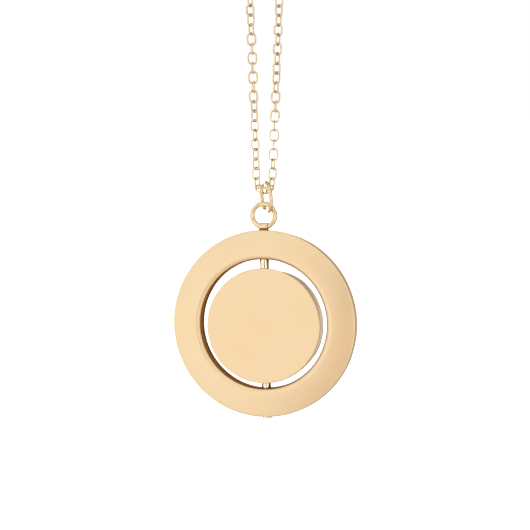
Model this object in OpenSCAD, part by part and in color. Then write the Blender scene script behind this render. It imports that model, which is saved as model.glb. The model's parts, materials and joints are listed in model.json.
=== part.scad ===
// A spinner pendant on its necklace: a round disc that turns inside a ring-shaped frame.
// The necklace hangs by the top of its loop. Its front faces -Y, and +Z is up.
// The origin is the underside of the chain at the top of the loop, where a peg carries it.

/* [Frame] */
// Outside diameter of the ring-shaped frame
frame_d = 35; // [32:0.5:40]
// Diameter of the opening that the disc turns in
opening_d = 24.1; // [23.6:0.1:25]
// Thickness of the frame at the opening, before its edge is rounded
frame_t = 3.8; // [3.4:0.1:4.4]
// Thickness of the frame at its outer edge, before that is rounded
edge_t = 1.8; // [1.6:0.1:2.4]
// Radius of the dome across the frame's faces
dome_r = 30; // [16:1:80]
// Rounding of the frame's edge at the opening
inner_edge_r = 1.1; // [0.3:0.05:1.2]
// Rounding of the frame's outer edge
outer_edge_r = 0.25; // [0.2:0.05:0.7]

/* [Disc] */
// Diameter of the disc
disc_d = 21.55; // [19:0.05:21.8]
// Thickness of the disc
disc_t = 3.3; // [2.6:0.05:3.4]
// Rounding of the disc's edges
disc_edge_r = 0.2; // [0.1:0.05:0.6]
// How far the disc sits below the middle of the opening
disc_drop = 0.35; // [0:0.05:0.5]
// How far the disc is turned out of the frame's plane, degrees
disc_turn = 2; // [0:1:30]

/* [Pivot pin] */
// Diameter of the pin that the disc turns on
pin_d = 1.75; // [1.4:0.05:1.9]
// Radial play between the pin and the disc
pin_play = 0.06; // [0.04:0.01:0.09]
// Radial play between the pin and the frame that holds it
seat_play = 0.03; // [0.02:0.01:0.05]
// Depth of the pin's blind hole above the opening
seat_depth = 2.4; // [1.5:0.1:3.5]
// Length of the pin's end that stands out of the frame's lower edge
pin_end = 0.3; // [0.1:0.05:0.5]

/* [Lug and bail ring] */
// Outside diameter of the tube lug on top of the frame
lug_d = 1.3; // [1.28:0.01:1.36]
// Bore of the tube lug
lug_bore = 1.04; // [1.03:0.01:1.08]
// Length of the tube lug
lug_len = 1.7; // [1.6:0.05:1.75]
// Height of the lug's axis above the frame's top edge
lug_rise = 0.68; // [0.6:0.01:0.7]
// Outside diameter of the bail ring
bail_d = 5.3; // [5.1:0.05:5.6]
// Thickness of the bail ring's wire
bail_wire = 0.94; // [0.88:0.01:0.94]

/* [Jump ring] */
// Outside diameter of the jump ring between the chain and the bail ring
jump_d = 6.4; // [6.2:0.05:6.6]
// Thickness of the jump ring's wire
jump_wire = 0.75; // [0.6:0.05:0.75]
// How far the jump ring is turned out of the necklace's plane, degrees
jump_turn = 58; // [50:1:70]
// How far the jump ring leans, its top to the left, degrees
jump_lean = 5; // [0:1:7]
// How far to the side of its top the bail ring hangs on the jump ring, degrees
bail_side = 49; // [30:1:52]
// How far the pendant leans, its bottom to the right, degrees
hang_lean = 1; // [0:0.5:3]

/* [Chain] */
// Distance from one chain link to the next
pitch = 1.79; // [1.75:0.01:1.85]
// Thickness of the chain's wire
link_wire = 0.36; // [0.3:0.01:0.38]
// Width of a chain link
link_w = 1.9; // [1.85:0.01:2]
// Clear distance between two links in line
link_gap = 0.12; // [0.1:0.01:0.14]
// Links that rise on the left and pass over the top to the clasp
left_links = 134; // [120:2:134]
// Links that rise on the right up to the clasp
right_links = 103; // [97:2:103]
// How far each strand leans outwards as it rises, degrees
strand_lean = 2.2; // [1.8:0.1:2.6]
// How far the links turn about the strand, each way from 45 degrees
roll_swing = 34; // [0:1:36]

/* [Clasp] */
// Outside diameter of the spring-ring clasp
clasp_d = 6; // [5.5:0.1:7]
// Thickness of the clasp's ring
clasp_wire = 1.2; // [1:0.05:1.3]
// Outside diameter of the clasp's eye
eye_d = 2.4; // [2.4:0.05:2.6]
// Thickness of the eye's wire
eye_wire = 0.6; // [0.5:0.05:0.6]
// Outside diameter of the ring that joins the clasp to the chain
clasp_ring_d = 3; // [3:0.05:3.2]
// Thickness of that ring's wire
clasp_ring_wire = 0.5; // [0.4:0.02:0.5]
// Outside diameter of the ring that the clasp closes on
end_ring_d = 3.8; // [3.6:0.1:4.4]
// Thickness of that ring's wire
end_ring_wire = 0.6; // [0.5:0.02:0.7]

/* [Hidden] */
$fn = 72;

gold = "#f0cf9c";
bright_gold = "#f6dcae";
ring_gap = 0.25;          // clear distance of the jump ring's wire, along the bail ring's radius

// The links of the fold that carries the jump ring: across and up from the fold's lowest
// point, lean from upright, and turn about the link's own length.
across = 0;
up = 1;
lean = 2;
roll = 3;
fold_links = [[0.65, 0.54, 58, 45], [1.43, 1.73, 5, 135]];
strand_foot = [1.56, 3.5];    // first link of a strand, from the same point
jump_top = [0.1, 1.95];       // middle of the jump ring's wire in the fold
left_wave = [27, 2];          // length over which a strand's links turn and turn back, how often
right_wave = [33, 1.5];
clasp_turn = 45;              // the clasp's plane from the necklace's plane

link_reach = pitch + link_gap + link_wire;    // a link's length between its wire's middles
link_bend = (link_w - link_wire) / 2;

// What the clasp and its two rings take up between the last links on either side
clasp_ring_r = (clasp_ring_d - clasp_ring_wire) / 2;
clasp_r = (clasp_d - clasp_wire) / 2;
eye_r = (eye_d - eye_wire) / 2;
end_ring_r = (end_ring_d - end_ring_wire) / 2;
eye_sink = 0.55;              // the eye's wire to the clasp's, where the two are joined
function hook(a, b) = (a + b) / 2 + link_gap;    // wires that hang in each other, middle to middle
clasp_ring_at = link_reach / 2 - hook(link_wire, clasp_ring_wire) + clasp_ring_r;
eye_at = clasp_ring_at + clasp_ring_r - hook(clasp_ring_wire, eye_wire) + eye_r;
clasp_at = eye_at + eye_r + eye_sink + clasp_r;
end_ring_at = clasp_at + clasp_r - hook(clasp_wire, end_ring_wire) + end_ring_r;
clasp_reach = end_ring_at + end_ring_r - hook(end_ring_wire, link_wire) + link_reach / 2;

// The loop: two straight strands and a round arc over the top
way_len = (left_links + right_links - 2) * pitch + clasp_reach;
arc_deg = 180 + 2 * strand_lean;
arc_share = arc_deg * PI / 360;
strand_len = (way_len / 2 - arc_share * strand_foot[across] / cos(strand_lean))
             / (1 + arc_share * tan(strand_lean));
top_r = (strand_foot[across] + strand_len * sin(strand_lean)) / cos(strand_lean);
arc_len = arc_share * 2 * top_r;
arc_z = strand_foot[up] + strand_len * cos(strand_lean) + top_r * sin(strand_lean);
half_links = floor(way_len / 2 / pitch);
peg_side = link_bend * cos(45) + link_wire / 2;    // a link's middle to its underside
fold_z = -(arc_z + top_r - peg_side);         // the fold's lowest point, from the origin

// Where the way is, s along it from the left strand's first link: across, up, direction
function way(s) =
    s < strand_len ? [-strand_foot[across] - s * sin(strand_lean),
                      strand_foot[up] + s * cos(strand_lean), -strand_lean]
    : s < strand_len + arc_len ? over((s - strand_len) / top_r * 180 / PI - strand_lean)
    : [strand_foot[across] + (way_len - s) * sin(strand_lean),
       strand_foot[up] + (way_len - s) * cos(strand_lean), 180 + strand_lean];
function over(turn) = [-top_r * cos(turn), arc_z + top_r * sin(turn), turn];
function drift(s, wave) = s < wave[0] * wave[1] ? roll_swing * sin(360 * s / wave[0]) : 0;

// The jump ring, the bail ring and the pendant, each hung on the one above it
jump_r = (jump_d - jump_wire) / 2;
bail_r = (bail_d - bail_wire) / 2;
jump_foot = [jump_top[across] + 2 * jump_r * sin(jump_lean),
             jump_top[up] - 2 * jump_r * cos(jump_lean)];
bail_hang = bail_r - bail_wire / 2 - jump_wire / 2 / sin(jump_turn) - ring_gap;
bail_at = [jump_foot[across] - bail_hang * sin(bail_side),
           jump_foot[up] - bail_hang * cos(bail_side)];
lug_drop = bail_r * 0.92;     // the bail ring's straight foot runs in the lug
foot_half = sqrt(bail_r * bail_r - lug_drop * lug_drop);
foot_wire = bail_wire - 0.02;
foot_lap = 0.08;              // how far the foot reaches into the round wire at each end
foot_lap_deg = 2;             // how far the round wire reaches back over the foot
solder = [1.4, 0.9, 0.5];    // the solder under the lug: along it, across it, upright
frame_drop = lug_drop + lug_rise + frame_d / 2;

// The frame's section: two domed faces, closer together at the outer edge, with rounded edges
opening_r = opening_d / 2;
frame_r = frame_d / 2;
face_start = [opening_r, frame_t / 2];
face_end = [frame_r, edge_t / 2];
face_half = (face_end - face_start) / 2;
dome_mid = face_start + face_half
         + sqrt(pow(dome_r / norm(face_half), 2) - 1) * [face_half[1], -face_half[0]];
function on_dome(x, edge) = [x, dome_mid[1] + sqrt(pow(dome_r - edge, 2) - pow(x - dome_mid[0], 2))];
function dome_angle(p) = atan2(p[1] - dome_mid[1], p[0] - dome_mid[0]);
function arc(mid, r, from, to, steps) =
    [for (i = [0:steps]) mid + r * [cos(from + (to - from) * i / steps), sin(from + (to - from) * i / steps)]];
inner_mid = on_dome(opening_r + inner_edge_r, inner_edge_r);
outer_mid = on_dome(frame_r - outer_edge_r, outer_edge_r);
front_face = concat(
    arc(inner_mid, inner_edge_r, 180, dome_angle(inner_mid), 5),
    arc(dome_mid, dome_r, dome_angle(inner_mid), dome_angle(outer_mid), 12),
    arc(outer_mid, outer_edge_r, dome_angle(outer_mid), 0, 6));
back_face = [for (i = [len(front_face) - 1:-1:0]) [front_face[i][0], -front_face[i][1]]];

// A full ring of round wire in the XZ plane
module wire_ring(r, wire) {
    rotate([90, 0, 0]) rotate_extrude() translate([r, 0]) circle(d = wire);
}

// Places what is drawn round the bail ring's middle
module on_pendant() {
    translate([bail_at[across], 0, fold_z + bail_at[up]]) rotate([0, -hang_lean, 0]) children();
}

// Places what is drawn round the middle of the frame's opening
module in_frame() {
    on_pendant() translate([0, 0, -frame_drop]) children();
}

module frame() {
    color(gold) in_frame() difference() {
        union() {
            rotate([90, 0, 0]) rotate_extrude() polygon(concat(front_face, back_face));
            translate([0, 0, frame_r + lug_rise]) rotate([0, 90, 0])
                cylinder(d = lug_d, h = lug_len, center = true);
            translate([0, 0, frame_r]) cube(solder, center = true);
        }
        translate([0, 0, frame_r + lug_rise]) rotate([0, 90, 0])
            cylinder(d = lug_bore, h = lug_len + 1, center = true);
        translate([0, 0, -frame_r - 1])
            cylinder(d = pin_d + 2 * seat_play, h = frame_r + 1 + opening_r + seat_depth);
    }
}

module pivot_pin() {
    bevel = 0.12;
    color(bright_gold) in_frame() rotate_extrude() polygon([
        [0, -frame_r - pin_end], [pin_d / 2 - bevel, -frame_r - pin_end],
        [pin_d / 2, -frame_r - pin_end + bevel], [pin_d / 2, opening_r + seat_depth - seat_play],
        [0, opening_r + seat_depth - seat_play]]);
}

module disc() {
    r = disc_d / 2;
    h = disc_t / 2;
    e = disc_edge_r;
    color(gold) in_frame() rotate([0, 0, disc_turn]) difference() {
        translate([0, 0, -disc_drop]) rotate([90, 0, 0]) rotate_extrude() polygon(concat(
            [[0, -h]], arc([r - e, -h + e], e, -90, 0, 4), arc([r - e, h - e], e, 0, 90, 4),
            [[0, h]]));
        cylinder(d = pin_d + 2 * pin_play, h = disc_d + 4, center = true);
    }
}

// A round ring whose foot, inside the lug, is straight
module bail_ring() {
    open = asin(foot_half / bail_r) - foot_lap_deg;
    color(bright_gold) on_pendant() {
        rotate([90, 0, 0]) rotate([0, 0, -90 + open]) rotate_extrude(angle = 360 - 2 * open)
            translate([bail_r, 0]) circle(d = bail_wire);
        translate([0, 0, -lug_drop]) rotate([0, 90, 0])
            cylinder(d = foot_wire, h = 2 * (foot_half + foot_lap), center = true);
    }
}

module jump_ring() {
    color(bright_gold) translate([jump_top[across], 0, fold_z + jump_top[up]])
        rotate([0, -jump_lean, 0]) translate([0, 0, -jump_r]) rotate([0, 0, -jump_turn])
            wire_ring(jump_r, jump_wire);
}

// An oval link that stands along Z, its width along X
module link() {
    straight = link_reach - 2 * link_bend;
    for (side = [-1, 1]) {
        translate([side * link_bend, 0, 0]) cylinder(d = link_wire, h = straight, center = true, $fn = 24);
        translate([0, 0, side * straight / 2]) rotate([90, 0, 0]) rotate([0, 0, side > 0 ? 0 : 180])
            rotate_extrude(angle = 180, $fn = 36) translate([link_bend, 0]) circle(d = link_wire, $fn = 24);
    }
}

module link_at(place, turn) {
    translate([place[across], 0, fold_z + place[up]]) rotate([0, place[lean], 0])
        rotate([0, 0, turn]) link();
}

// The two links on one side of the fold
module fold_side(side) {
    for (row = fold_links) link_at([side * row[across], row[up], side * row[lean]], row[roll]);
}

// Links of the run that starts on the left, by number
module left_run(first, last) {
    for (i = [first:last]) link_at(way(i * pitch), 45 + 90 * i + drift(i * pitch, left_wave));
}

module chain_left() {
    color(bright_gold) {
        fold_side(-1);
        left_run(0, half_links);
    }
}

module chain_right() {
    color(bright_gold) {
        fold_side(1);
        for (i = [0:right_links - 1])
            link_at(way(way_len - i * pitch), 135 + 90 * i + drift(i * pitch, right_wave));
        left_run(half_links + 1, left_links - 1);
    }
}

// Places what is drawn down the right strand from the last link before the clasp, and turns it
module at_clasp(down, turn) {
    place = way((left_links - 1) * pitch + down);
    translate([place[across], 0, fold_z + place[up]]) rotate([0, place[lean] - 180, 0])
        rotate([0, 0, turn]) children();
}

module clasp_ring() {
    color(bright_gold) at_clasp(clasp_ring_at, clasp_turn + 90) wire_ring(clasp_ring_r, clasp_ring_wire);
}

// A spring ring with its eye, closed and in one piece
module clasp() {
    color(bright_gold) {
        at_clasp(clasp_at, clasp_turn) wire_ring(clasp_r, clasp_wire);
        at_clasp(eye_at, clasp_turn) wire_ring(eye_r, eye_wire);
    }
}

module end_ring() {
    color(bright_gold) at_clasp(end_ring_at, clasp_turn + 90) wire_ring(end_ring_r, end_ring_wire);
}

frame();
disc();
pivot_pin();
bail_ring();
jump_ring();
chain_left();
chain_right();
clasp();
clasp_ring();
end_ring();
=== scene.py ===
import json
import math

import bmesh
import bpy
from mathutils import Matrix, Vector


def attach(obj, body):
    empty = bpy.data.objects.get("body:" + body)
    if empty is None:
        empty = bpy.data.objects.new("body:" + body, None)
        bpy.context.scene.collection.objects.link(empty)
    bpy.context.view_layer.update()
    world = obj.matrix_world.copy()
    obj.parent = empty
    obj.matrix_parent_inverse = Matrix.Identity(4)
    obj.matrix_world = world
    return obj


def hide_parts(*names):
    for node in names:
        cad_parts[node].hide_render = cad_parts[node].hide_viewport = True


# A spinning pendant on its cable chain: satin gold frame and disc, polished pin, rings and chain.
# The pieces are modelled in millimetres, as a jeweller gives them, and scaled to metres when placed.

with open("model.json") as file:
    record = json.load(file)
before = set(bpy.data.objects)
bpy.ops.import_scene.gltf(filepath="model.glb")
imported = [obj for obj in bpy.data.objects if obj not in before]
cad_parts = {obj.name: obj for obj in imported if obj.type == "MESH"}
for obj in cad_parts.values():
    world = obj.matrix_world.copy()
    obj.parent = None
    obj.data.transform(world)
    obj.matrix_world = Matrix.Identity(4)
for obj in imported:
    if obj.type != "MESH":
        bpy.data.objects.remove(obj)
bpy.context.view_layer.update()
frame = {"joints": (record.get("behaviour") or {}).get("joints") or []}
joints = {joint["name"]: joint for joint in frame["joints"]}
bpy.ops.object.select_all(action="DESELECT")
print("the packed necklace is loaded")


def turned(axis, degrees):
    return Matrix.Rotation(math.radians(degrees), 4, axis)


def moved(x, y, z):
    return Matrix.Translation((x, y, z))


# Where the pieces hang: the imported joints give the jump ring's foot, the lug and the frame's middle
jumpFoot, lugMiddle, frameMiddle = [moved(*[1000 * value for value in joints[name]["pos_m"]])
                                    for name in ("bail_swing", "frame_tip", "disc_spin")]
pinAxis = Vector(joints["disc_spin"]["axis"])
hangTurn = Matrix.Rotation(math.atan2(pinAxis.x, pinAxis.z), 4, "Y")
framePlace = frameMiddle @ hangTurn


# Modelling helpers

def newPiece(name):
    piece = bpy.context.object
    piece.name = name
    piece.data.name = name
    return piece


def choose(piece):
    bpy.ops.object.select_all(action="DESELECT")
    piece.select_set(True)
    bpy.context.view_layer.objects.active = piece


def editPiece(piece, mode="VERT"):
    choose(piece)
    bpy.ops.object.mode_set(mode="EDIT")
    bpy.ops.mesh.select_mode(type=mode)


def leaveEdit():
    bpy.ops.object.mode_set(mode="OBJECT")


def pick(piece, kind, test):
    mesh = bmesh.from_edit_mesh(piece.data)
    for group in (mesh.verts, mesh.edges, mesh.faces):
        for item in group:
            item.select = False
    for item in getattr(mesh, kind):
        if test(item):
            item.select_set(True)
    mesh.select_flush_mode()
    bmesh.update_edit_mesh(piece.data)


def shift(piece, matrix=Matrix.Identity(4)):
    # the place goes into the mesh, so that the object stays at the origin
    piece.data.transform(matrix @ piece.matrix_world)
    piece.matrix_world = Matrix.Identity(4)
    piece.data.update()


def place(piece, matrix):
    # from millimetres round the piece's own middle to metres in the necklace
    shift(piece, Matrix.Scale(0.001, 4) @ matrix)


def applyModifier(piece, kind, **settings):
    choose(piece)
    modifier = piece.modifiers.new(kind.title(), kind)
    for name, value in settings.items():
        setattr(modifier, name, value)
    bpy.ops.object.modifier_apply(modifier=modifier.name)


def joinSeams():
    # points of the piece in edit mode that lie on each other become one
    bpy.ops.mesh.select_all(action="SELECT")
    bpy.ops.mesh.remove_doubles(threshold=0.001)


def roundEdges(piece, width, segments):
    # all edges that turn by more than 40 degrees
    applyModifier(piece, "BEVEL", width=width, segments=segments, limit_method="ANGLE",
                  angle_limit=math.radians(40))


def cutOrJoin(piece, tool, operation):
    applyModifier(piece, "BOOLEAN", object=tool, operation=operation, solver="EXACT")
    bpy.data.objects.remove(tool)
    editPiece(piece)
    joinSeams()
    leaveEdit()


def smooth(piece, degrees=35):
    choose(piece)
    bpy.ops.object.shade_smooth_by_angle(angle=math.radians(degrees))


def upright(radius, low, high, sides=64):
    # an upright cylinder, from one height to another
    bpy.ops.mesh.primitive_cylinder_add(vertices=sides, radius=radius, depth=high - low,
                                        location=(0, 0, (low + high) / 2))
    piece = bpy.context.object
    shift(piece)
    return piece


def wireRing(name, across, wire, turns=96, sides=20):
    # a full ring of round wire that stands in the XZ plane
    bpy.ops.mesh.primitive_torus_add(major_segments=turns, minor_segments=sides,
                                     major_radius=(across - wire) / 2, minor_radius=wire / 2,
                                     rotation=(math.pi / 2, 0, 0))
    piece = newPiece(name)
    shift(piece)
    return piece


# Materials

def linear(hexCode):
    parts = [int(hexCode[i:i + 2], 16) / 255 for i in (1, 3, 5)]
    return [p / 12.92 if p <= 0.04045 else ((p + 0.055) / 1.055) ** 2.4 for p in parts] + [1]


def addNode(tree, kind, settings=None, links=None):
    node = tree.nodes.new(kind)
    for name, value in (settings or {}).items():
        if isinstance(name, str) and hasattr(node, name):
            setattr(node, name, value)
        else:
            node.inputs[name].default_value = value
    for name, source in (links or {}).items():
        tree.links.new(source, node.inputs[name])
    return node


def newMaterial(name, metallic, roughness=0.5):
    material = bpy.data.materials.new(name)
    material.use_nodes = True
    shader = material.node_tree.nodes["Principled BSDF"]
    shader.inputs["Metallic"].default_value = metallic
    shader.inputs["Roughness"].default_value = roughness
    return material, material.node_tree, shader


def mottle(tree, shader, noise, tones, finish):
    # colour and roughness pass from their first value to their second as the noise rises
    tone = addNode(tree, "ShaderNodeValToRGB", links={"Fac": noise.outputs["Fac"]})
    for number, colour in enumerate(tones):
        tone.color_ramp.elements[number].position = finish["toneSpan"][number]
        tone.color_ramp.elements[number].color = linear(colour)
    tree.links.new(tone.outputs["Color"], shader.inputs["Base Color"])
    sheen = addNode(tree, "ShaderNodeMapRange", {"From Min": finish["sheenSpan"][0],
                                                 "From Max": finish["sheenSpan"][1],
                                                 "To Min": finish["roughness"][0],
                                                 "To Max": finish["roughness"][1]},
                    {"Value": noise.outputs["Fac"]})
    tree.links.new(sheen.outputs["Result"], shader.inputs["Roughness"])


satin = {
    "tones": ("#f4d9ae", "#f6ddb5"),      # where the coating lies a little thicker, and elsewhere
    "roughness": (0.36, 0.42),
    "toneSpan": (0.35, 0.65), "sheenSpan": (0.3, 0.7),
    "cloud": 9,                           # mm, how far the tone takes to change
    "grain": 0.12, "grainDepth": 0.0015,  # mm, the blasted grain, coarser than 0.03 so that it shows
    "grainStrength": 0.25,
}


def satinGold():
    # gold-coloured coating on steel, blasted fine and brushed: an even silky sheen
    material, tree, shader = newMaterial("satin gold coating on blasted steel", 1)
    where = addNode(tree, "ShaderNodeTexCoord")
    cloud = addNode(tree, "ShaderNodeTexNoise", {"Scale": 1000 / satin["cloud"], "Detail": 3.0},
                    {"Vector": where.outputs["Object"]})
    mottle(tree, shader, cloud, satin["tones"], satin)
    grain = addNode(tree, "ShaderNodeTexNoise", {"Scale": 1000 / satin["grain"], "Detail": 2.0},
                    {"Vector": where.outputs["Object"]})
    bump = addNode(tree, "ShaderNodeBump", {"Strength": satin["grainStrength"],
                                            "Distance": satin["grainDepth"] / 1000},
                   {"Height": grain.outputs["Fac"]})
    tree.links.new(bump.outputs["Normal"], shader.inputs["Normal"])
    return material


# the wall inside the opening: its colour and glancing tint are darkened as painted shade; its marks are
# real bumps
wall = {
    "colour": "#a58462", "glancing": "#9a7852", "roughness": 0.45,
    "marks": 1.26, "markDepth": 0.004,    # mm, the lathe's marks, wider apart than real ones
    "markStrength": 0.15,
}
# painted shade: the colours of the crevice round the solder (seam) and inside the links' ends (crevice)
paintedShade = {"seam": "#9a6a35", "crevice": "#6a4a24", "roughness": 0.4}


def turnedGoldPaintedShade():
    # the wall that the lathe left: the same coating, darkened as painted shade for the dark reflections
    # inside the opening, with faint tool marks
    material, tree, shader = newMaterial("turned gold coating inside the opening", 1, wall["roughness"])
    shader.inputs["Base Color"].default_value = linear(wall["colour"])
    shader.inputs["Specular Tint"].default_value = linear(wall["glancing"])
    bands = 2 * math.pi * 1000 / wall["marks"] / 20        # at scale 1 the node draws 20 / 2 pi a metre
    where = addNode(tree, "ShaderNodeTexCoord")
    marks = addNode(tree, "ShaderNodeTexWave", {"bands_direction": "Y", "Distortion": 0.4, "Scale": bands},
                    {"Vector": where.outputs["Object"]})
    bump = addNode(tree, "ShaderNodeBump", {"Strength": wall["markStrength"],
                                            "Distance": wall["markDepth"] / 1000},
                   {"Height": marks.outputs["Fac"]})
    tree.links.new(bump.outputs["Normal"], shader.inputs["Normal"])
    return material


def paintedShadeGold(name, colour):
    # darkened as painted shade where parts meet, in the crevice round the solder and inside the links'
    # ends: it hardly mirrors
    material, _, shader = newMaterial(name, 1, paintedShade["roughness"])
    shader.inputs["Base Color"].default_value = linear(colour)
    return material


polish = {
    "wire": ("#e5cb9f", "#eedab6"),     # where the coating lies a little thicker, and elsewhere
    "pin": ("#fae6c6", "#fff3dd"),      # worn thin by the disc that turns on it
    "roughness": (0.06, 0.13),
    "toneSpan": (0.4, 0.6), "sheenSpan": (0.35, 0.7),
    "scuff": 0.7,                       # mm, the handling marks
}


def polishedGold(name, tones):
    # drawn wire, tumbled bright before it is coated: clear reflections, faint handling marks
    material, tree, shader = newMaterial(name, 1)
    where = addNode(tree, "ShaderNodeTexCoord")
    scuff = addNode(tree, "ShaderNodeTexNoise", {"Scale": 1000 / polish["scuff"], "Detail": 4.0},
                    {"Vector": where.outputs["Object"]})
    mottle(tree, shader, scuff, tones, polish)
    return material


satinMetal = satinGold()
shadedWallMetal = turnedGoldPaintedShade()
# painted shade in the crevice round the solder
seamShadeMetal = paintedShadeGold("heat-stained gold round the solder", paintedShade["seam"])
# painted shade inside the links' ends, where their neighbours lie
creviceShadeMetal = paintedShadeGold("dull gold in the crevices of the links", paintedShade["crevice"])
polishedMetal = polishedGold("polished gold coating on drawn wire", polish["wire"])
pinMetalFinish = polishedGold("polished thin gold coating on the ground steel pin", polish["pin"])
print("materials are ready")


def finishPiece(piece, body, node, slot, *metals):
    piece.data.materials.clear()
    for metal in metals:
        piece.data.materials.append(metal)
    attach(piece, body)
    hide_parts(node)


# The frame: its section is drawn once, domed and rounded, and spun round the opening

frameSize = {
    "outer": 35, "opening": 24.1,
    "thick": 3.8, "edge": 1.8,            # at the opening and at the outer edge, before rounding
    "dome": 30, "openingEdge": 1.1, "outerEdge": 0.25,
    "steps": 192, "edgeSteps": 6, "faceCuts": 15,
    "lug": 1.3, "lugBore": 1.04, "lugLength": 1.7, "lugRise": 0.68, "lugEdge": 0.08,
    "solder": (1.4, 0.9, 0.5), "solderEdge": 0.18,
    # the painted shade round the solder
    "shadeReach": 1.1, "shadeHigh": 0.3,  # to each side of the lug, and up from the frame's edge
    "hole": 1.81, "holeDepth": 2.4,
}


def drawSection(inner, outer):
    # the flat section stands in the XY plane, its faces sloped, domed and rounded at both ends
    bpy.ops.mesh.primitive_plane_add(size=1)
    piece = newPiece("frameMetal")
    middle, width = (outer + inner) / 2, outer - inner
    for v in piece.data.vertices:
        half = frameSize["thick"] / 2 if v.co.x < 0 else frameSize["edge"] / 2
        v.co = (middle + v.co.x * width, math.copysign(half, v.co.y), 0)
    editPiece(piece)
    for side, rounding in ((-1, frameSize["openingEdge"]), (1, frameSize["outerEdge"])):
        pick(piece, "verts", lambda v: (v.co.x - middle) * side > 0)
        bpy.ops.mesh.bevel(offset=rounding, segments=frameSize["edgeSteps"], affect="VERTICES")
    bpy.ops.mesh.select_all(action="SELECT")
    bpy.ops.mesh.delete(type="ONLY_FACE")
    bpy.ops.mesh.select_mode(type="EDGE")
    pick(piece, "edges", lambda e: e.calc_length() > width / 2)      # the two faces' long edges
    bpy.ops.mesh.subdivide(number_cuts=frameSize["faceCuts"])
    mesh = bmesh.from_edit_mesh(piece.data)
    for v in mesh.verts:
        rise = max(width ** 2 / 4 - (v.co.x - middle) ** 2, 0) / 2 / frameSize["dome"]
        v.co.y += math.copysign(rise, v.co.y)
    bmesh.update_edit_mesh(piece.data)
    return piece


def makeFrame():
    inner, outer = frameSize["opening"] / 2, frameSize["outer"] / 2
    piece = drawSection(inner, outer)
    bpy.ops.mesh.select_mode(type="VERT")
    bpy.ops.mesh.select_all(action="SELECT")
    bpy.ops.mesh.spin(steps=frameSize["steps"], angle=2 * math.pi, center=(0, 0, 0), axis=(0, 1, 0))
    joinSeams()
    bpy.ops.mesh.normals_make_consistent(inside=False)
    leaveEdit()
    cutOrJoin(piece, makeLug(outer), "UNION")
    hole = upright(frameSize["hole"] / 2, -outer - 1, inner + frameSize["holeDepth"])
    cutOrJoin(piece, hole, "DIFFERENCE")
    finishPiece(piece, "pendant", "frame", "satin_gold", satinMetal, shadedWallMetal, polishedMetal,
                seamShadeMetal)
    for face in piece.data.polygons:
        face.material_index = frameFinish(face, inner, outer)
    place(piece, framePlace)
    smooth(piece)


def frameFinish(face, inner, outer):
    # the number of the metal that a face shows: satin, the turned wall darkened as painted shade,
    # polished, or painted shade round the solder
    across = math.hypot(face.center.x, face.center.z)
    # the wall inside the opening, darkened as painted shade
    if across < inner + frameSize["openingEdge"] / 6 and face.normal.dot(face.center) < 0:
        return 1
    # round the solder: painted shade low down and on the sides, polished above
    if face.center.z > outer - 0.02 and abs(face.center.x) < frameSize["shadeReach"]:
        low = face.center.z < outer + frameSize["shadeHigh"]
        return 3 if low or abs(face.normal.x) > 0.4 else 2
    return 0


def makeLug(outer):
    # a short tube across the top of the frame, on its bed of solder
    height = outer + frameSize["lugRise"]
    bpy.ops.mesh.primitive_cylinder_add(vertices=48, radius=frameSize["lug"] / 2,
                                        depth=frameSize["lugLength"], rotation=(0, math.pi / 2, 0),
                                        location=(0, 0, height))
    tube = newPiece("lug")
    shift(tube)
    editPiece(tube, "FACE")
    pick(tube, "faces", lambda f: abs(f.normal.x) > 0.9)
    bpy.ops.mesh.inset(thickness=(frameSize["lug"] - frameSize["lugBore"]) / 2)
    bpy.ops.mesh.bridge_edge_loops()
    leaveEdit()
    roundEdges(tube, frameSize["lugEdge"], 2)
    bpy.ops.mesh.primitive_cube_add(size=1, location=(0, 0, outer))
    bed = newPiece("solder")
    bed.scale = frameSize["solder"]
    bpy.context.view_layer.update()
    shift(bed)
    applyModifier(bed, "BEVEL", width=frameSize["solderEdge"], segments=4)
    cutOrJoin(tube, bed, "UNION")
    bore = upright(frameSize["lugBore"] / 2, -frameSize["lugLength"], frameSize["lugLength"], 48)
    shift(bore, moved(0, 0, height) @ turned("Y", 90))
    cutOrJoin(tube, bore, "DIFFERENCE")
    return tube


makeFrame()
print("frame and lug are made")


# The disc and the pin that it turns on

discSize = {
    "across": 21.55, "thick": 3.3, "edge": 0.2, "bore": 1.87,
    "drop": 0.35, "turn": 2,      # below the frame's middle, and degrees out of the frame's plane
    "rim": 0.1,                   # a flat border that keeps the edge's smooth shading off the faces
}
pinSize = {"across": 1.75, "low": -17.8, "high": 14.47, "edge": 0.12}


def isFlat(face):
    return abs(face.normal.y) > 0.99


def makeDisc():
    bpy.ops.mesh.primitive_cylinder_add(vertices=192, radius=discSize["across"] / 2,
                                        depth=discSize["thick"], rotation=(math.pi / 2, 0, 0))
    piece = newPiece("discMetal")
    shift(piece)
    roundEdges(piece, discSize["edge"], 4)
    editPiece(piece, "FACE")
    pick(piece, "faces", isFlat)
    bpy.ops.mesh.inset(thickness=discSize["rim"])
    leaveEdit()
    shift(piece, moved(0, 0, -discSize["drop"]))
    reach = discSize["across"] / 2 + 2
    cutOrJoin(piece, upright(discSize["bore"] / 2, -reach, reach), "DIFFERENCE")
    finishPiece(piece, "disc", "disc", "satin_gold", satinMetal, polishedMetal)
    for face in piece.data.polygons:
        face.material_index = 0 if isFlat(face) else 1
    place(piece, framePlace @ turned("Z", discSize["turn"]))
    smooth(piece, 25)


def makePin():
    piece = upright(pinSize["across"] / 2, pinSize["low"], pinSize["high"])
    piece.name = "pinMetal"
    roundEdges(piece, pinSize["edge"], 3)
    finishPiece(piece, "pendant", "pivot_pin", "polished_gold", pinMetalFinish)
    place(piece, framePlace)
    smooth(piece)


makeDisc()
makePin()
print("disc and pin are made")


# The rings between the pendant and the chain

bailSize = {"across": 5.3, "wire": 0.94, "foot": 0.92}      # foot: its depth, as a share of the radius
jumpSize = {"across": 6.4, "wire": 0.75, "turn": 58, "lean": 5}       # degrees


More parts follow.
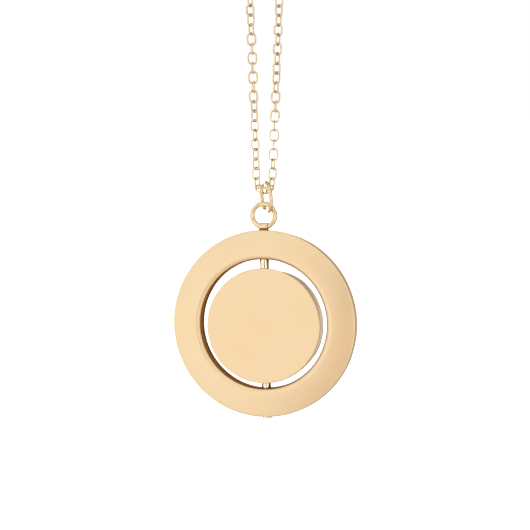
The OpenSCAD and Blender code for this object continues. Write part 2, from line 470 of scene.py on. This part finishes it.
def makeBailRing():
    piece = wireRing("bailRing", bailSize["across"], bailSize["wire"])
    radius = (bailSize["across"] - bailSize["wire"]) / 2
    drop = radius * bailSize["foot"]
    for v in piece.data.vertices:         # the foot runs straight where the lug holds it
        onWire = v.co.z / math.hypot(v.co.x, v.co.z) * radius
        if onWire < -drop:
            v.co.z += -drop - onWire
    finishPiece(piece, "bail", "bail_ring", "polished_gold", polishedMetal)
    place(piece, lugMiddle @ hangTurn @ moved(0, 0, drop))
    smooth(piece, 60)


def makeJumpRing():
    piece = wireRing("jumpRing", jumpSize["across"], jumpSize["wire"])
    radius = (jumpSize["across"] - jumpSize["wire"]) / 2
    finishPiece(piece, "necklace", "jump_ring", "polished_gold", polishedMetal)
    stand = turned("Y", -jumpSize["lean"]) @ moved(0, 0, radius) @ turned("Z", -jumpSize["turn"])
    place(piece, jumpFoot @ stand)
    smooth(piece, 60)


makeBailRing()
makeJumpRing()
print("bail ring and jump ring are made")


# The chain: one link is modelled and copied along two strands and over the top

chainSize = {
    "pitch": 1.79, "wire": 0.36, "width": 1.9, "gap": 0.12,
    "bendSides": 14, "wireSides": 6,
    "left": 134, "right": 103,                                # links from the fold to the clasp
    "lean": 2.2,                                              # degrees, a strand from upright
    "foot": (1.56, 3.5),                                      # a strand's first link
    "fold": ((0.65, 0.54, 58, 45), (1.43, 1.73, 5, 135)),     # across, up, lean and turn
    "swing": 34, "leftWave": (27, 2), "rightWave": (33, 1.5),    # the strands' twist: length and times
    # the painted shade inside a link's ends
    "dull": (0.35, 0.2),       # where a crevice starts, as shares of the bend's radius and the wire
}
claspSize = {
    "across": 6, "wire": 1.2, "turn": 45,
    "eye": 2.4, "eyeWire": 0.6, "sink": 0.55,                 # sink: the eye's wire to the clasp's
    "ring": 3, "ringWire": 0.5, "endRing": 3.8, "endWire": 0.6,
}

linkReach = chainSize["pitch"] + chainSize["gap"] + chainSize["wire"]
linkBend = (chainSize["width"] - chainSize["wire"]) / 2


def hook(wireA, wireB):
    return (wireA + wireB) / 2 + chainSize["gap"]


# Down the strand from the last link: the ring, the eye, the clasp and the end ring
ringRadius = (claspSize["ring"] - claspSize["ringWire"]) / 2
eyeRadius = (claspSize["eye"] - claspSize["eyeWire"]) / 2
claspRadius = (claspSize["across"] - claspSize["wire"]) / 2
endRadius = (claspSize["endRing"] - claspSize["endWire"]) / 2
ringAt = linkReach / 2 - hook(chainSize["wire"], claspSize["ringWire"]) + ringRadius
eyeAt = ringAt + ringRadius - hook(claspSize["ringWire"], claspSize["eyeWire"]) + eyeRadius
claspAt = eyeAt + eyeRadius + claspSize["sink"] + claspRadius
endAt = claspAt + claspRadius - hook(claspSize["wire"], claspSize["endWire"]) + endRadius
claspReach = endAt + endRadius - hook(claspSize["endWire"], chainSize["wire"]) + linkReach / 2

# The whole way, from the left strand's first link over the top to the right strand's
wayLength = (chainSize["left"] + chainSize["right"] - 2) * chainSize["pitch"] + claspReach
strandLean = math.radians(chainSize["lean"])
arcShare = math.pi / 2 + strandLean
footAcross, footUp = chainSize["foot"]
strandLength = ((wayLength / 2 - arcShare * footAcross / math.cos(strandLean))
                / (1 + arcShare * math.tan(strandLean)))
topRadius = (footAcross + strandLength * math.sin(strandLean)) / math.cos(strandLean)
topUp = footUp + strandLength * math.cos(strandLean) + topRadius * math.sin(strandLean)
pegSide = linkBend * math.cos(math.radians(45)) + chainSize["wire"] / 2
foldHeight = -(topUp + topRadius - pegSide)


def wayPoint(s):
    # across, up and lean in degrees, s mm along the way
    arcLength = 2 * arcShare * topRadius
    if s < strandLength:
        return (-footAcross - s * math.sin(strandLean), footUp + s * math.cos(strandLean),
                -chainSize["lean"])
    if s < strandLength + arcLength:
        turn = (s - strandLength) / topRadius - strandLean
        return -topRadius * math.cos(turn), topUp + topRadius * math.sin(turn), math.degrees(turn)
    back = wayLength - s
    return (footAcross + back * math.sin(strandLean), footUp + back * math.cos(strandLean),
            180 + chainSize["lean"])


def drift(s, wave):
    # how far a strand's slow twist turns the link there
    length, times = wave
    return chainSize["swing"] * math.sin(2 * math.pi * s / length) if s < length * times else 0


def onChain(point, turn):
    across, up, lean = point
    return moved(across, 0, foldHeight + up) @ turned("Y", lean) @ turned("Z", turn)


def foldPlaces(side):
    return [onChain((side * across, up, side * lean), turn)
            for across, up, lean, turn in chainSize["fold"]]


def leftRun(first, last):
    # a quarter turn from link to link
    places = []
    for number in range(first, last + 1):
        s = number * chainSize["pitch"]
        places.append(onChain(wayPoint(s), 45 + 90 * number + drift(s, chainSize["leftWave"])))
    return places


def rightRun():
    places = []
    for number in range(chainSize["right"]):
        s = number * chainSize["pitch"]
        turn = 135 + 90 * number + drift(s, chainSize["rightWave"])
        places.append(onChain(wayPoint(wayLength - s), turn))
    return places


def makeLink():
    # an oval of round wire: a ring whose upper and lower halves are drawn apart
    bpy.ops.mesh.primitive_torus_add(major_segments=chainSize["bendSides"],
                                     minor_segments=chainSize["wireSides"],
                                     major_radius=linkBend, minor_radius=chainSize["wire"] / 2,
                                     rotation=(math.pi / 2, 0, 0))
    link = newPiece("link")
    shift(link, turned("Y", 180 / chainSize["bendSides"]))
    apart = linkReach / 2 - linkBend
    for v in link.data.vertices:
        v.co.z += math.copysign(apart, v.co.z)
    smooth(link, 80)
    return link


def inCrevice(face):
    # the inside of a link's ends, where its neighbours lie and shade falls: the faces that get the painted
    # shade
    alongShare, wireShare = chainSize["dull"]
    end = abs(face.center.z) - linkReach / 2 + linkBend
    inward = linkBend - math.hypot(face.center.x, end)
    return end > linkBend * alongShare and inward > chainSize["wire"] * wireShare


def makeChain(name, node, places):
    link = makeLink()
    crevices = [inCrevice(face) for face in link.data.polygons]
    copies = []
    for matrix in places:
        copy = bpy.data.objects.new(name, link.data.copy())
        bpy.context.scene.collection.objects.link(copy)
        place(copy, matrix)
        copies.append(copy)
    bpy.data.objects.remove(link)
    bpy.ops.object.select_all(action="DESELECT")
    for copy in copies:
        copy.select_set(True)
    bpy.context.view_layer.objects.active = copies[0]
    bpy.ops.object.join()
    piece = newPiece(name)
    finishPiece(piece, "necklace", node, "polished_gold", polishedMetal, creviceShadeMetal)
    for face in piece.data.polygons:
        # the faces in the crevices get the painted shade
        face.material_index = int(crevices[face.index % len(crevices)])


halfLinks = int(wayLength / 2 / chainSize["pitch"])
makeChain("chainLeft", "chain_left", foldPlaces(-1) + leftRun(0, halfLinks))
makeChain("chainRight", "chain_right",
          foldPlaces(1) + rightRun() + leftRun(halfLinks + 1, chainSize["left"] - 1))
print("chain is made")


# The clasp and its two rings

def claspPlace(down, turn):
    across, up, lean = wayPoint((chainSize["left"] - 1) * chainSize["pitch"] + down)
    return onChain((across, up, lean - 180), turn)


def makeClaspRings():
    ringTurn = claspSize["turn"] + 90
    for name, node, size, wire, down in (
            ("claspRing", "clasp_ring", claspSize["ring"], claspSize["ringWire"], ringAt),
            ("endRing", "end_ring", claspSize["endRing"], claspSize["endWire"], endAt)):
        piece = wireRing(name, size, wire, 64, 16)
        finishPiece(piece, "necklace", node, "polished_gold", polishedMetal)
        place(piece, claspPlace(down, ringTurn))
        smooth(piece, 60)


def makeClasp():
    piece = wireRing("claspMetal", claspSize["across"], claspSize["wire"])
    eye = wireRing("claspEye", claspSize["eye"], claspSize["eyeWire"], 64, 16)
    shift(eye, moved(0, 0, claspAt - eyeAt))
    cutOrJoin(piece, eye, "UNION")
    finishPiece(piece, "necklace", "clasp", "polished_gold", polishedMetal)
    place(piece, claspPlace(claspAt, claspSize["turn"]))
    smooth(piece, 50)


makeClaspRings()
makeClasp()
print("clasp is made")


# Camera: as the photograph was taken, a little from the right and above

view = {
    "azimuth": 14.3, "elevation": 4.7, "distance": 1400,
    "across": 98.9, "sensor": 36, "aim": (0.1, 0, -13.6),      # aim: from the chain's fold
}


def direction(azimuth, elevation):
    a, e = math.radians(azimuth), math.radians(elevation)
    return Vector((math.sin(a) * math.cos(e), -math.cos(a) * math.cos(e), math.sin(e)))


aim = (Vector(view["aim"]) + Vector((0, 0, foldHeight))) / 1000
bpy.ops.object.camera_add()
camera = bpy.context.object
camera.location = aim + direction(view["azimuth"], view["elevation"]) * view["distance"] / 1000
camera.rotation_euler = (aim - camera.location).to_track_quat("-Z", "Y").to_euler()
camera.data.sensor_width = view["sensor"]
camera.data.lens = view["sensor"] * view["distance"] / view["across"]
camera.data.clip_start, camera.data.clip_end = 0.02, 20
bpy.context.scene.camera = camera


# Studio: a white tent with a dark hole for the lens and the brightest cloth round it. The light
# falls off to the sides and the back, less just above the table, and the table's front is shaded.

tent = {
    # degrees away from the camera, the light there, and how warm it is
    "low": ((0, 0.04, 0.5), (6.5, 0.04, 0.5), (9.8, 1.1, 0.8), (15, 1.4, 0.1), (28, 1.15, 0),
            (55, 1.12, 0), (80, 0.75, 0.2), (115, 0.4, 0.5), (138, 0.4, 0.5), (146, 0.72, 0.3),
            (158, 0.72, 0.3), (170, 0.3, 0.6), (180, 0.1, 0.8)),
    "high": ((0, 0.04, 0.5), (6.5, 0.04, 0.5), (9.8, 1.0, 0.8), (15, 1.1, 0.2), (28, 1.04, 0.1),
             (55, 1.02, 0), (80, 0.75, 0.2), (112, 0.35, 0.6), (138, 0.35, 0.5), (146, 0.5, 0.5),
             (158, 0.45, 0.6), (180, 0.06, 1)),
    "horizon": (0, 0.22),          # the heights between which low passes into high
    "brightest": 1.4,              # the light that the ramps' full white stands for
    "warmth": (0, 0.25, 0.45),     # what full warmth takes from red, green and blue
}
frontShade = {
    "colour": (0.55, 0.4, 0.28, 1),        # the light that it lets through
    # where the shade starts and where it is full: to the sides, downwards and towards the camera
    "sides": (0.45, 0.1), "down": (-0.05, -0.3), "towards": (0.5, 0.8),
}
softboxes = {
    # azimuth, elevation, distance in metres, size and radiance
    "softboxLeft": (-78, -4, 0.5, (0.6, 1.1), 0.2),
    "softboxBackLeft": (-143, 0, 0.5, (0.6, 0.8), 2),
    "softboxTop": (-10, 80, 0.5, (0.6, 0.5), 0.15),
}
table = {"radius": 4, "height": -0.45}       # metres


for name, (azimuth, elevation, distance, size, radiance) in softboxes.items():
    bpy.ops.object.light_add(type="AREA")
    light = bpy.context.object
    light.name = name
    light.data.shape = "RECTANGLE"
    light.data.size, light.data.size_y = size
    light.data.energy = radiance * math.pi * size[0] * size[1]
    light.location = aim + direction(azimuth, elevation) * distance
    light.rotation_euler = (aim - light.location).to_track_quat("-Z", "Y").to_euler()
    light.visible_camera = False

whitePaper, _, paperShader = newMaterial("white paper", 0, 0.9)
paperShader.inputs["Base Color"].default_value = (1, 1, 1, 1)
paperShader.inputs["Emission Color"].default_value = (1, 1, 1, 1)
paperShader.inputs["Emission Strength"].default_value = 1
bpy.ops.mesh.primitive_circle_add(vertices=96, radius=table["radius"], fill_type="NGON",
                                  location=(0, 0, table["height"]))
floor = newPiece("paperFloor")
shift(floor)
floor.data.materials.append(whitePaper)
floor.visible_glossy = False
floor.visible_diffuse = False

studio = bpy.data.worlds.new("studio")
bpy.context.scene.world = studio
studio.use_nodes = True
studioTree = studio.node_tree
ray = addNode(studioTree, "ShaderNodeLightPath")
sight = addNode(studioTree, "ShaderNodeTexCoord").outputs["Generated"]
height = addNode(studioTree, "ShaderNodeSeparateXYZ", links={"Vector": sight}).outputs["Z"]
toCamera = addNode(studioTree, "ShaderNodeVectorMath", {"operation": "DOT_PRODUCT"}, {0: sight})
toCamera.inputs[1].default_value = direction(view["azimuth"], view["elevation"])
away = addNode(studioTree, "ShaderNodeMath", {"operation": "ARCCOSINE"}, {0: toCamera.outputs["Value"]})
share = addNode(studioTree, "ShaderNodeMath", {"operation": "DIVIDE", 1: math.pi}, {0: away.outputs[0]})


def tentRamp(part):
    # the light by its angle from the camera, from the lens round to the back
    ramp = addNode(studioTree, "ShaderNodeValToRGB", links={"Fac": share.outputs[0]})
    for number, (degrees, level, warm) in enumerate(tent[part]):
        stops = ramp.color_ramp.elements
        stop = stops[number] if number < 2 else stops.new(1)
        stop.position = degrees / 180
        stop.color = [level / tent["brightest"] * (1 - warm * less) for less in tent["warmth"]] + [1]
    return ramp.outputs["Color"]


above = addNode(studioTree, "ShaderNodeMapRange", {"From Min": tent["horizon"][0],
                                                   "From Max": tent["horizon"][1]}, {"Value": height})
joined = addNode(studioTree, "ShaderNodeMixRGB", links={"Fac": above.outputs["Result"],
                                                        "Color1": tentRamp("low"),
                                                        "Color2": tentRamp("high")})

sideways = addNode(studioTree, "ShaderNodeVectorMath", {"operation": "DOT_PRODUCT"}, {0: sight})
sideways.inputs[1].default_value = direction(view["azimuth"] + 90, 0)
reach = addNode(studioTree, "ShaderNodeMath", {"operation": "ABSOLUTE"}, {0: sideways.outputs["Value"]})
fades = [addNode(studioTree, "ShaderNodeMapRange", {"From Min": start, "From Max": full}, {"Value": value})
         for value, (start, full) in ((reach.outputs[0], frontShade["sides"]),
                                      (height, frontShade["down"]),
                                      (toCamera.outputs["Value"], frontShade["towards"]))]
shade = fades[0].outputs["Result"]
for fade in fades[1:]:
    shade = addNode(studioTree, "ShaderNodeMath", {"operation": "MULTIPLY"},
                    {0: shade, 1: fade.outputs["Result"]}).outputs[0]
shaded = addNode(studioTree, "ShaderNodeMixRGB",
                 {"blend_type": "MULTIPLY", "Color2": frontShade["colour"]},
                 {"Fac": shade, "Color1": joined.outputs["Color"]})
dim = addNode(studioTree, "ShaderNodeBackground", {"Strength": tent["brightest"]},
              {"Color": shaded.outputs["Color"]})
white = addNode(studioTree, "ShaderNodeBackground", {"Color": (1, 1, 1, 1), "Strength": 1.0})
both = addNode(studioTree, "ShaderNodeMixShader",
               links={"Fac": ray.outputs["Is Camera Ray"], 1: dim.outputs[0], 2: white.outputs[0]})
studioTree.links.new(both.outputs[0], studioTree.nodes["World Output"].inputs["Surface"])
bpy.context.scene.view_settings.view_transform = "Standard"
print("studio is set")
